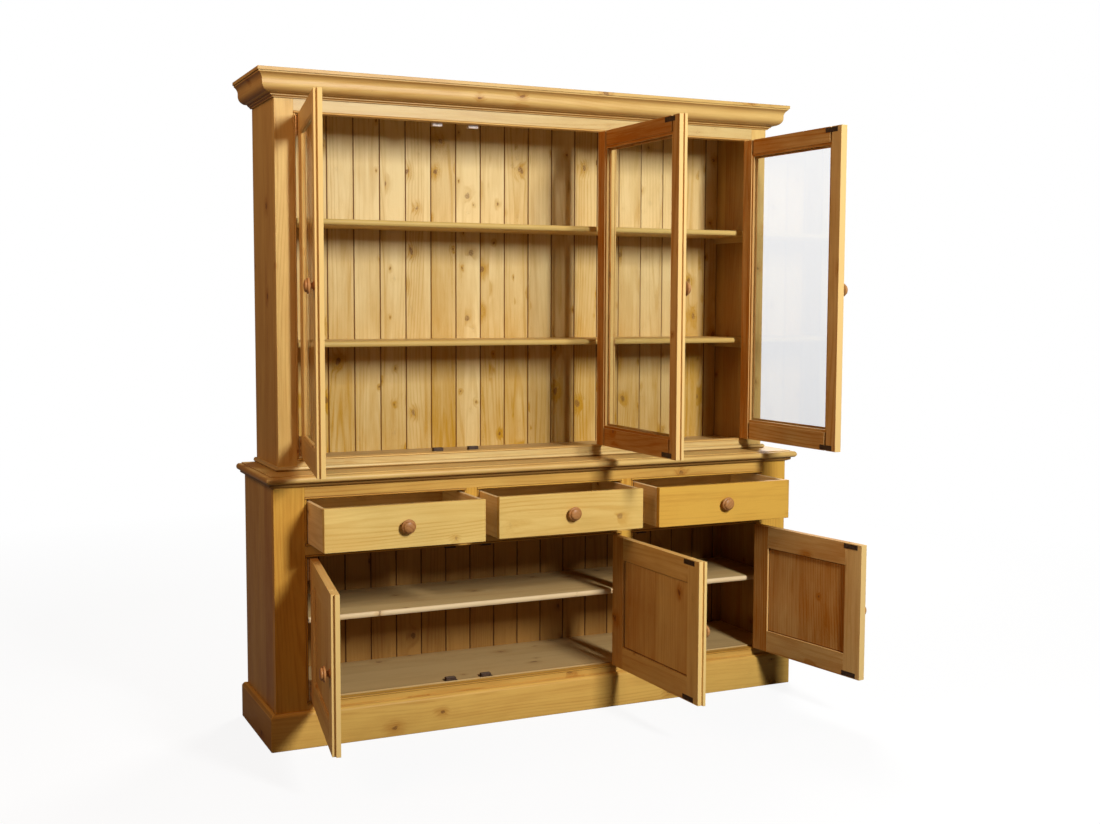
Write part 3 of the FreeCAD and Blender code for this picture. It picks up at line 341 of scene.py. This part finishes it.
def makePine(name, kind):
    tree = newFinish(name)
    grain = tree.nodes.new("ShaderNodeGroup")
    grain.node_tree = pineGroup
    for key, layer, output in (("Board Place", "grainPlace", "Vector"), ("Board Tone", "boardTone", "Fac"),
                               ("Arris", "arris", "Fac")):
        value = put(tree, "Attribute", attribute_name=layer).outputs[output]
        tree.links.new(value, grain.inputs[key])
    for key, colour in (("Pale", kind["pale"]), ("Deep", kind["deep"]), ("Knot", kind["knot"]),
                        ("Grime And Shade", kind.get("grimeAndShade", kind["knot"]))):
        grain.inputs[key].default_value = (*colour, 1)
    for key, word in (("Knot Share", "knotShare"), ("Ring Depth", "rings"), ("Stave Width", "stave"),
                      ("Board Change", "change"), ("Wear And Light Share", "wearAndLight")):
        grain.inputs[key].default_value = kind[word]
    # painted shade: a share of the deep colour set by the height in the piece
    if "paintedShade" in kind:
        clean, dark, share = kind["paintedShade"]
        where = put(tree, "TexCoord").outputs["Object"]
        level = put(tree, "SeparateXYZ", {0: where}).outputs["Z"]
        tree.links.new(ramp(tree, level, (clean, dark), (0, share)), grain.inputs["Painted Shade"])
    bump = put(tree, "Bump", {"Height": grain.outputs["Height"], "Strength": kind["relief"],
                              "Distance": figure["heightReach"]})
    wood = put(tree, "BsdfPrincipled", {
        "Base Color": grain.outputs["Colour"], "Roughness": grain.outputs["Roughness"],
        "Specular IOR Level": kind["sheen"], "Normal": bump.outputs[0]})
    put(tree, "OutputMaterial", {"Surface": wood.outputs[0]})


pineGroup = makePineGroup()
for kindName, kind in pineKinds.items():
    makePine(kindName, {**pineBase, **kind})


# brass, blackened steel, pale catches
metalKinds = {
    "satinBrass": {"clean": (0.66, 0.44, 0.20), "dull": (0.40, 0.25, 0.11), "metal": 1.0, "shine": 0.5,
                   "smooth": 0.28, "rough": 0.5},
    "blackSteel": {"clean": (0.036, 0.02, 0.012), "dull": (0.085, 0.048, 0.028), "metal": 0.0,
                   "shine": 0.15, "smooth": 0.5, "rough": 0.7},
    "greySteel": {"clean": (0.17, 0.125, 0.095), "dull": (0.10, 0.07, 0.05), "metal": 0.0, "shine": 0.3,
                  "smooth": 0.4, "rough": 0.6},
    "paleCatch": {"clean": (0.80, 0.70, 0.64), "dull": (0.55, 0.42, 0.34), "metal": 0.0, "shine": 0.4,
                  "smooth": 0.35, "rough": 0.5},
}
metalWear = {"patchScale": 90, "patchDetail": 4, "dullSpan": (0.35, 0.7), "roughSpan": (0.3, 0.75),
             "scuffScale": 900, "scuffDetail": 2, "scuff": 0.08, "scuffReach": 0.0002}


def makeMetal(name, kind):
    tree = newFinish(name)
    where = put(tree, "TexCoord").outputs["Object"]
    patches = blotches(tree, where, metalWear["patchScale"], metalWear["patchDetail"])
    scuffs = blotches(tree, where, metalWear["scuffScale"], metalWear["scuffDetail"])
    worn = ramp(tree, patches, metalWear["dullSpan"], (0, 1))
    tint = mixColour(tree, worn, (*kind["clean"], 1), (*kind["dull"], 1))
    rough = ramp(tree, patches, metalWear["roughSpan"], (kind["smooth"], kind["rough"]))
    bump = put(tree, "Bump", {"Height": scuffs, "Strength": metalWear["scuff"],
                              "Distance": metalWear["scuffReach"]})
    metal = put(tree, "BsdfPrincipled", {
        "Base Color": tint, "Metallic": kind["metal"], "Roughness": rough,
        "Specular IOR Level": kind["shine"], "Normal": bump.outputs[0]})
    put(tree, "OutputMaterial", {"Surface": metal.outputs[0]})


for kindName, kind in metalKinds.items():
    makeMetal(kindName, kind)

# glass: clear at the head, greyer at the foot as painted shade, a little wavy and smeared
paneGlass = {"head": (0.995, 0.997, 0.998), "foot": (0.80, 0.81, 0.825), "levels": (0.98, 1.93),
             "index": 1.45, "waveScale": 5, "waveDetail": 1, "wave": 0.02, "waveReach": 0.002,
             "smearScale": 14, "smearDetail": 5, "smearSpan": (0.45, 0.8), "smearRough": 0.06,
             "passed": (0.93, 0.95, 0.94)}


def makeGlass():
    tree = newFinish("clearGlass")
    where = put(tree, "TexCoord").outputs["Object"]
    wave = blotches(tree, where, paneGlass["waveScale"], paneGlass["waveDetail"])
    smear = blotches(tree, where, paneGlass["smearScale"], paneGlass["smearDetail"])
    rough = ramp(tree, smear, paneGlass["smearSpan"], (0, paneGlass["smearRough"]))
    bump = put(tree, "Bump", {"Height": wave, "Strength": paneGlass["wave"],
                              "Distance": paneGlass["waveReach"]})
    level = put(tree, "SeparateXYZ", {0: where}).outputs["Z"]
    height = ramp(tree, level, paneGlass["levels"], (0, 1))
    tint = mixColour(tree, height, (*paneGlass["foot"], 1), (*paneGlass["head"], 1))
    pane = put(tree, "BsdfPrincipled", {
        "Base Color": tint, "Roughness": rough, "IOR": paneGlass["index"],
        "Transmission Weight": 1, "Normal": bump.outputs[0]})
    clear = put(tree, "BsdfTransparent", {"Color": (*paneGlass["passed"], 1)})
    rays = put(tree, "LightPath").outputs
    passing = calc(tree, "MAXIMUM", rays["Is Shadow Ray"], rays["Is Diffuse Ray"])
    mix = put(tree, "MixShader", {0: passing, 1: pane.outputs[0], 2: clear.outputs[0]})
    put(tree, "OutputMaterial", {"Surface": mix.outputs[0]})


makeGlass()
print("finishes made:", ", ".join(sorted(finishes)))


# a door's turn from shut to the way it stands open, and the turn back
def turnsOf(body):
    joint = jointOf.get(body)
    if joint is None or joint["type"] != "hinge":
        return Matrix.Identity(4), Matrix.Identity(4)
    pin = Matrix.Translation(joint["pos_m"])
    swing = Matrix.Rotation(math.radians(-joint["range_deg"][0]), 4, Vector(joint["axis"]))
    turn = pin @ swing @ pin.inverted()
    return turn, turn.inverted()


# angles in degrees: an edge this sharp is an arris, faces this near are one, faces this near shade smooth;
# points closer than the weld, in metres, are one, and points match on a grid of so many steps a metre
shaping = {"arrisAngle": 38, "flatAngle": 1, "smoothAngle": 32, "weld": 2e-6, "gridSteps": 1e6}
facing = 0.95


# a node's triangles come solid by solid, and a solid is whole once every edge has met its pair
def solidsOf(nodeName):
    mesh = nodes[nodeName].data
    solid = []
    unpaired = set()
    for face in mesh.polygons:
        corners = [mesh.vertices[i].co.copy() for i in face.vertices]
        marks = [tuple(round(value * shaping["gridSteps"]) for value in corner) for corner in corners]
        solid.append(corners)
        for start, end in zip(marks, marks[1:] + marks[:1]):
            if start == end:
                continue
            if (end, start) in unpaired:
                unpaired.remove((end, start))
            else:
                unpaired.add((start, end))
        if not unpaired:
            yield solid
            solid = []


def pointBox(points):
    low = Vector([min(point[i] for point in points) for i in range(3)])
    high = Vector([max(point[i] for point in points) for i in range(3)])
    return low, high


def meshBox(bm):
    return pointBox([vert.co for vert in bm.verts])


def nodeBox(nodeName, shut):
    return pointBox([shut @ vert.co for vert in nodes[nodeName].data.vertices])


# a door frame's solids come as hinge stile, free stile, low rail, top rail, then any glazing beads
def railBoxes(body, shut):
    rails = list(solidsOf(body + "_frame"))[2:4]
    return [pointBox([shut @ corner for corners in rail for corner in corners]) for rail in rails]


def easeEdges(bm, convex, offset, steps):
    limit = math.radians(shaping["arrisAngle"])
    edges = [edge for edge in bm.edges
             if edge.is_manifold and edge.is_convex == convex and edge.calc_face_angle(0) > limit]
    if not edges:
        return []
    eased = bmesh.ops.bevel(bm, geom=edges, offset=offset, offset_type="OFFSET", segments=steps,
                            profile=0.5, affect="EDGES", clamp_overlap=convex, material=-1)
    return eased["faces"]


# one solid of a node, shut position: merged, inner corners filled with a dark fillet (old wax and painted shade),
# arrises eased and marked pale (rubbed wear and painted highlight)
def easedBoard(triangles, shut, arris, waxShadeFillet=0, wearAndLight=1):
    bm = bmesh.new()
    arrisLayer = bm.loops.layers.float.new("arris")
    for corners in triangles:
        bm.faces.new([bm.verts.new(shut @ corner) for corner in corners])
    bmesh.ops.remove_doubles(bm, verts=bm.verts[:], dist=shaping["weld"])
    flat = math.radians(shaping["flatAngle"])
    bmesh.ops.dissolve_limit(bm, angle_limit=flat, verts=bm.verts[:], edges=bm.edges[:])
    for convex, offset, mark in ((False, waxShadeFillet, -1), (True, arris, wearAndLight)):
        if offset > 0:
            for face in easeEdges(bm, convex, offset, 1):
                for loop in face.loops:
                    loop[arrisLayer] = mark
    return bm


# faces marked pale (above 0: rubbed wear, painted highlight) or dark (below 0: grime, painted shade) by the way
# they look out of the shut board and whether they lie at the left or right end of the whole node; grooves are dark
# joints
faceMarks = {
    "grooves": lambda way, end: -1 if min(abs(way.x), abs(way.y)) > 0.5 else 0,
    # quirks: the bead's sloping faces painted dark, painted shade in the quirks
    "quirks": lambda way, end: -0.8 if 0.15 < -way.y < 0.92 else 0,
    # door: outer edges painted pale, inner edges half as much, rubbed wear and painted highlight; outer faces
    # lifted toward pale
    "door": lambda way, end: (1 if end else 0.5) if abs(way.x) > facing else 0.4 if way.y < -0.9 else 0,
    # inside: a side's inner face painted darker, painted shade inside the carcass
    "inside": lambda way, end: -0.45 if way.x < -facing else 0,
    # nosing: underside painted dark as painted shade, upper curve a little darker, the rest pale as painted
    # highlight
    "nosing": lambda way, end: -0.9 if way.z < -0.3 else -0.2 if 0.4 < way.z < 0.97 else 0.6,
    # soffit: flat soffits painted pale as painted bounce light, faces tilted down painted dark as painted shade
    "soffit": lambda way, end: 0.8 if way.z < -facing else min(0, 0.3 + 1.25 * way.z),
    # ends: end faces painted darker, painted shade on the returns
    "ends": lambda way, end: -0.5 if abs(way.x) > 0.5 else 0,
}
endReach = 0.012


def markFaces(bm, ruleName, low, high):
    arrisLayer = bm.loops.layers.float["arris"]
    for face in bm.faces:
        across = face.calc_center_median().x
        end = min(across - low.x, high.x - across) < endReach
        mark = faceMarks[ruleName](face.normal, end)
        for loop in face.loops:
            loop[arrisLayer] = loop[arrisLayer] or mark


# grain runs along the board's length unless an axis is given, and the tone is drawn unless one is given
grainDraw = {"along": 40, "across": 0.05}


def layGrain(bm, seed, grainAxis=None, givenTone=None):
    dice = random.Random(seed)
    placeLayer = bm.verts.layers.float_vector.new("grainPlace")
    toneLayer = bm.verts.layers.float.new("boardTone")
    low, high = meshBox(bm)
    axes = sorted(range(3), key=lambda i: low[i] - high[i])
    if grainAxis is not None:
        axes.remove(grainAxis)
        axes.insert(0, grainAxis)
    middle = (low + high) / 2
    start = dice.uniform(0, grainDraw["along"])
    shift = dice.uniform(-grainDraw["across"], grainDraw["across"])
    tone = dice.random() if givenTone is None else givenTone
    flip = dice.choice((-1, 1))
    for vert in bm.verts:
        off = vert.co - middle
        vert[placeLayer] = (off[axes[0]] + start, off[axes[1]] * flip + shift, off[axes[2]])
        vert[toneLayer] = tone


# a panel gets a thin dark line painted where it goes into the frame, painted shade in the joint
def darkenRim(bm, body, shut, gap):
    arrisLayer = bm.loops.layers.float["arris"]
    railTop = railBoxes(body, shut)[0][1].z
    hidden = railTop - meshBox(bm)[0].z
    faces = [face for face in bm.faces if abs(face.normal.y) > facing]
    rims = bmesh.ops.inset_individual(bm, faces=faces, thickness=hidden + gap, use_even_offset=True)
    for face in rims["faces"]:
        for loop in face.loops:
            loop[arrisLayer] = -1


def joinBoards(boards, name):
    whole = bmesh.new()
    for bm in boards:
        part = bpy.data.meshes.new("part")
        bm.to_mesh(part)
        bm.free()
        whole.from_mesh(part)
        bpy.data.meshes.remove(part)
    mesh = bpy.data.meshes.new(name)
    whole.to_mesh(mesh)
    whole.free()
    return mesh


def addPiece(name, mesh, body, finishNames, nodeName=None, smoothAngle=shaping["smoothAngle"]):
    for finishName in finishNames:
        mesh.materials.append(finishes[finishName])
    mesh.polygons.foreach_set("use_smooth", [True] * len(mesh.polygons))
    mesh.set_sharp_from_angle(angle=math.radians(smoothAngle))
    piece = bpy.data.objects.new(name, mesh)
    scene.collection.objects.link(piece)
    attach(piece, body)
    if nodeName:
        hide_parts(nodeName)


# boards: finish; arris and dark fillet (wax and painted shade) in metres; wearAndLight 1 for a pale arris (wear,
# painted highlight), -1 for a dark one (painted shade); marks from the rules above; grain axis where it isn't the
# longest side; nose, the finish of faces that look forward; tones, one for each solid; gap, the width of a panel's
# dark line
noseLimit = -0.3
carcassBoards = {
    "base_left_side": {"finish": "waxedPine", "arris": 0.0015, "grain": 2},
    # right sides: inner faces painted darker as painted shade
    "base_right_side": {"finish": "waxedPine", "arris": 0.0015, "grain": 2, "marks": "inside"},
    "base_uprights": {"finish": "basePine", "arris": 0.0008, "grain": 2},
    "base_rails": {"finish": "lowPine", "arris": 0.0008, "grain": 0},
    # opening beads: dark arrises and sloping faces, painted shade along the beads
    "base_opening_beads": {"finish": "basePine", "arris": 0.0016, "wearAndLight": -1, "marks": "quirks"},
    "base_floor": {"finish": "plainPine", "arris": 0.001, "grain": 0},
    # base shelf: forward faces take a paler copy, painted light on the nose
    "base_shelf": {"finish": "plainPine", "nose": "nosePine", "arris": 0.0015, "grain": 0},
    # base back boards: dark copy of pine, painted shade
    "base_back_boards": {"finish": "dimShadedPine", "arris": 0, "grain": 2, "marks": "grooves"},
    "drawer_runners": {"finish": "plainPine", "arris": 0.001},
    "shelf_bearers": {"finish": "plainPine", "arris": 0.001},
    # plinth and worktop: end faces painted darker as painted shade
    "plinth": {"finish": "lowPine", "arris": 0.0015, "marks": "ends"},
    "worktop": {"finish": "glossPine", "arris": 0.001, "waxShadeFillet": 0.001, "grain": 0, "marks": "ends"},
    # bed moulding: dark copy of pine, painted shade under the worktop's nose
    "worktop_bed_moulding": {"finish": "bedShadedPine", "arris": 0.0004, "waxShadeFillet": 0.001},
    # foot moulding: painted highlight on its face and top, painted shade beneath its nose
    "foot_moulding": {"finish": "railPine", "arris": 0.0004, "waxShadeFillet": 0.001, "marks": "nosing"},
    "hutch_left_side": {"finish": "waxedPine", "arris": 0.0015, "grain": 2},
    "hutch_right_side": {"finish": "waxedPine", "arris": 0.0015, "grain": 2, "marks": "inside"},
    "hutch_stiles": {"finish": "framePine", "arris": 0.0008, "grain": 2},
    "hutch_rails": {"finish": "railPine", "arris": 0.0008, "grain": 0},
    # opening beads: dark arrises and sloping faces, painted shade along the beads
    "hutch_opening_beads": {"finish": "framePine", "arris": 0.0016, "wearAndLight": -1, "marks": "quirks"},
    "hutch_floor": {"finish": "plainPine", "arris": 0.001, "grain": 0},
    "hutch_shelves": {"finish": "boardPine", "nose": "shelfPine", "arris": 0.001, "grain": 0},
    "hutch_top": {"finish": "plainPine", "arris": 0.001, "grain": 0},
    "hutch_back_boards": {"finish": "boardPine", "arris": 0, "grain": 2, "marks": "grooves"},
    # cornice: painted light on soffits, painted shade on the cove and in the step corners
    "cornice": {"finish": "glossPine", "arris": 0.0004, "waxShadeFillet": 0.0042, "marks": "soffit"},
    "cornice_cap_board": {"finish": "dullPine", "nose": "glossPine", "arris": 0.001, "grain": 0},
}
doorFinish = {
    "hutch_left_door": "doorPine", "hutch_middle_door": "shadedDoorPine", "hutch_right_door": "shadedDoorPine",
    "base_left_door": "doorPine", "base_middle_door": "doorPine", "base_right_door": "shadedDoorPine",
}
# tones: hinge stile, free stile, rails, then the glazing beads in the order low, top, hinge, free
glazedFrame = {"arris": 0.0005, "marks": "door", "tones": (0.72, -0.1, 0.6, 0.6, 0.6, 0.6, 0.72, -0.1)}
panelFrame = {"arris": 0.0005, "marks": "door", "tones": (0.72, -0.1, 0.15, 0.15)}
doorPanel = {"arris": 0.0006, "grain": 2, "marks": "door", "gap": 0.003, "tones": (0.4,)}
drawerFinish = {"left_drawer": "facePine", "middle_drawer": "facePine", "right_drawer": "basePine"}
drawerFront = {"arris": 0.0012, "grain": 0}
drawerBox = {"finish": "boxPine", "arris": 0.0008}


def dressBoards(nodeName, board):
    body = bodyOf[nodeName]
    turn, shut = turnsOf(body)
    low, high = nodeBox(nodeName, shut)
    boards = []
    for count, triangles in enumerate(solidsOf(nodeName)):
        bm = easedBoard(triangles, shut, board["arris"], board.get("waxShadeFillet", 0), board.get("wearAndLight", 1))
        if "marks" in board:
            markFaces(bm, board["marks"], low, high)
        if "gap" in board:
            darkenRim(bm, body, shut, board["gap"])
        if "nose" in board:
            for face in bm.faces:
                face.material_index = 1 if face.normal.y < noseLimit else 0
        givenTone = board["tones"][count] if "tones" in board else None
        layGrain(bm, nodeName + str(count), board.get("grain"), givenTone)
        bm.transform(turn)
        boards.append(bm)
    mesh = joinBoards(boards, nodeName + "_dressed")
    finishNames = [board[word] for word in ("finish", "nose") if word in board]
    addPiece(nodeName + "_dressed", mesh, body, finishNames, nodeName)


for nodeName, board in carcassBoards.items():
    dressBoards(nodeName, board)
print("carcass dressed:", len(carcassBoards), "nodes")

doorBodies = [body for body in bodyNodes if body.endswith("_door")]
drawerBodies = [body for body in bodyNodes if body.endswith("_drawer")]
for body in doorBodies:
    if body.startswith("base"):
        dressBoards(body + "_frame", {"finish": doorFinish[body], **panelFrame})
        dressBoards(body + "_panel_sheet", {"finish": doorFinish[body], **doorPanel})
    else:
        dressBoards(body + "_frame", {"finish": doorFinish[body], **glazedFrame})
for body in drawerBodies:
    dressBoards(body + "_front", {"finish": drawerFinish[body], **drawerFront})
    dressBoards(body + "_box", drawerBox)
print("doors and drawers dressed")

# ovolo sticking round the outer side of a door's pane or panel:
# inset from the frame and depth from its face, in millimetres; a panelled door has a shallower one
sticking = {
    "line": ((-0.4, 0.5), (1.0, 0.5), (1.3, 1.5), (3.4, 1.9), (5.3, 3.1), (6.6, 4.7), (7.1, 6.4),
             (7.1, 8.7), (-0.4, 8.7)),
    "panelDepth": 0.76,
}


def stickFrame(body):
    turn, shut = turnsOf(body)
    lowRail, topRail = railBoxes(body, shut)
    left, right, face = lowRail[0].x, lowRail[1].x, lowRail[0].y
    bottom, top = lowRail[1].z, topRail[0].z
    squeeze = sticking["panelDepth"] if body.startswith("base") else 1
    bm = bmesh.new()
    rings = []
    mitres = ((left, bottom, 1, 1), (right, bottom, -1, 1), (right, top, -1, -1), (left, top, 1, -1))
    for x, z, sideX, sideZ in mitres:
        ring = []
        for inset, depth in sticking["line"]:
            place = (x + sideX * inset / 1000, face + depth * squeeze / 1000, z + sideZ * inset / 1000)
            ring.append(bm.verts.new(place))
        rings.append([bm.edges.new(pair) for pair in zip(ring, ring[1:] + ring[:1])])
    for first, second in zip(rings, rings[1:] + rings[:1]):
        bmesh.ops.bridge_loops(bm, edges=first + second)
    bmesh.ops.recalc_face_normals(bm, faces=bm.faces[:])
    bm.loops.layers.float.new("arris")
    layGrain(bm, body + "sticking", 2)
    bm.transform(turn)
    mesh = joinBoards([bm], body + "_sticking")
    addPiece(body + "_sticking", mesh, body, [doorFinish[body]])


for body in doorBodies:
    stickFrame(body)
print("sticking run:", len(doorBodies), "doors")

# turned knobs: radius and height from the door face, in millimetres
knob = {
    "line": ((0, 0), (13, 0), (13.4, 1.4), (12.6, 3), (10.2, 4.2), (8.2, 6.5), (8, 8.5), (9.5, 10.4),
             (15, 12), (20.5, 13.6), (22.6, 15.2), (23, 17), (22.3, 18.8), (20.4, 20), (18.3, 20.6),
             (17.7, 21.3), (18, 22.3), (18.2, 23.6), (17.4, 25.6), (14.8, 27.4), (10, 28.8), (5, 29.4),
             (0, 29.5)),
    "turns": 40,
    "smoothAngle": 50,
}


def spinKnob(nodeName):
    body = bodyOf[nodeName]
    turn, shut = turnsOf(body)
    low, high = nodeBox(nodeName, shut)
    seat = Vector(((low.x + high.x) / 2, high.y, (low.z + high.z) / 2))
    bm = bmesh.new()
    line = [bm.verts.new((radius / 1000, 0, height / 1000)) for radius, height in knob["line"]]
    edges = [bm.edges.new(pair) for pair in zip(line, line[1:])]
    bmesh.ops.spin(bm, geom=line + edges, cent=(0, 0, 0), axis=(0, 0, 1), angle=math.tau,
                   steps=knob["turns"], use_merge=True)
    bmesh.ops.remove_doubles(bm, verts=bm.verts[:], dist=shaping["weld"])
    bmesh.ops.recalc_face_normals(bm, faces=bm.faces[:])
    bm.loops.layers.float.new("arris")
    bm.transform(Matrix.Translation(seat) @ Matrix.Rotation(math.radians(90), 4, "X"))
    layGrain(bm, nodeName, 1)
    bm.transform(turn)
    mesh = joinBoards([bm], nodeName + "_turned")
    addPiece(nodeName + "_turned", mesh, body, ["knobPine"], nodeName, knob["smoothAngle"])


for body in doorBodies + drawerBodies:
    spinKnob(body + "_knob")
print("knobs turned:", len(doorBodies + drawerBodies))

# metalwork: a solid thinner than the limit is a strike plate, the rest is hinge
metalwork = {"arris": 0.00025, "strikeLimit": 0.0012}
# screw heads: taper of the rim, and the dish's width and its depth as a share of the height
screw = {"radius": 0.0027, "taper": 0.85, "proud": 0.0005, "dish": 0.0008, "dishDepth": 0.6,
         "spread": 0.425, "turns": 20}


# two dished screw heads on the inner face of a strike plate
def driveScrews(low, high):
    middle = (low + high) / 2
    heads = []
    for side in (-1, 1):
        bm = bmesh.new()
        bm.loops.layers.float.new("arris")
        bmesh.ops.create_cone(bm, cap_ends=True, segments=screw["turns"], radius1=screw["radius"],
                              radius2=screw["radius"] * screw["taper"], depth=screw["proud"] * 2)
        caps = [face for face in bm.faces if face.normal.z > facing]
        sunk = -screw["proud"] * screw["dishDepth"]
        bmesh.ops.inset_individual(bm, faces=caps, thickness=screw["dish"], depth=sunk)
        for face in bm.faces:
            face.material_index = 1
        seat = Vector((middle.x + side * screw["spread"] * (high.x - low.x), high.y, middle.z))
        bm.transform(Matrix.Translation(seat) @ Matrix.Rotation(math.radians(-90), 4, "X"))
        heads.append(bm)
    return heads


def dressMetal(nodeName):
    body = bodyOf[nodeName]
    turn, shut = turnsOf(body)
    parts = []
    for triangles in solidsOf(nodeName):
        bm = easedBoard(triangles, shut, metalwork["arris"])
        low, high = meshBox(bm)
        if min(high - low) < metalwork["strikeLimit"]:
            for face in bm.faces:
                face.material_index = 1
            parts += driveScrews(low, high)
        parts.append(bm)
    for bm in parts:
        bm.transform(turn)
    mesh = joinBoards(parts, nodeName + "_metal")
    addPiece(nodeName + "_metal", mesh, body, ["satinBrass", "blackSteel"], nodeName)


# a catch: a case on a flange, with its plate let into the free face; lower and upper catches take turns,
# the lower stands and the upper hangs, and those at the hutch's head are pale
catch = {"arris": 0.0009, "steps": 2, "case": 0.76, "flange": 0.002, "draft": 0.0003, "rim": 0.0022,
         "sunk": 0.0012, "paleAbove": 1.9}


def dressCatches(nodeName):
    parts = []
    for count, solid in enumerate(solidsOf(nodeName)):
        low, high = pointBox([corner for corners in solid for corner in corners])
        size = high - low
        middle = (low + high) / 2
        stands = 1 if count % 2 == 0 else -1
        seat = low.z if stands > 0 else high.z
        bm = bmesh.new()
        bm.loops.layers.float.new("arris")
        bmesh.ops.create_cube(bm, size=1)
        bmesh.ops.scale(bm, vec=(size.x, size.y, catch["flange"]), verts=bm.verts[:])
        place = (middle.x, middle.y, seat + stands * catch["flange"] / 2)
        bmesh.ops.translate(bm, vec=place, verts=bm.verts[:])
        for side in (-1, 1):
            cut = (middle.x + side * catch["case"] * size.x / 2, 0, 0)
            bmesh.ops.bisect_plane(bm, geom=bm.verts[:] + bm.edges[:] + bm.faces[:], plane_co=cut,
                                   plane_no=(1, 0, 0))
        plates = [face for face in bm.faces if face.normal.z * stands > facing
                  and abs(face.calc_center_median().x - middle.x) < catch["flange"]]
        rise = size.z - catch["flange"]
        bmesh.ops.inset_individual(bm, faces=plates, thickness=catch["draft"], depth=rise)
        bmesh.ops.inset_individual(bm, faces=plates, thickness=catch["rim"], depth=-catch["sunk"])
        pale = low.z > catch["paleAbove"]
        for face in bm.faces:
            face.material_index = 2 if pale else 1 if face in plates else 0
        easeEdges(bm, True, catch["arris"], catch["steps"])
        parts.append(bm)
    mesh = joinBoards(parts, nodeName + "_metal")
    finishNames = ["blackSteel", "greySteel", "paleCatch"]
    addPiece(nodeName + "_metal", mesh, bodyOf[nodeName], finishNames, nodeName)


for body in doorBodies:
    dressMetal(body + "_hardware")
dressMetal("hinge_frame_leaves")
dressCatches("door_catches")
print("metalwork dressed")

# glass panes keep their CAD shape
for body in doorBodies:
    if body.startswith("hutch"):
        pane = nodes[body + "_pane_sheet"]
        pane.data.materials.clear()
        pane.data.materials.append(finishes["clearGlass"])
print("panes glazed")
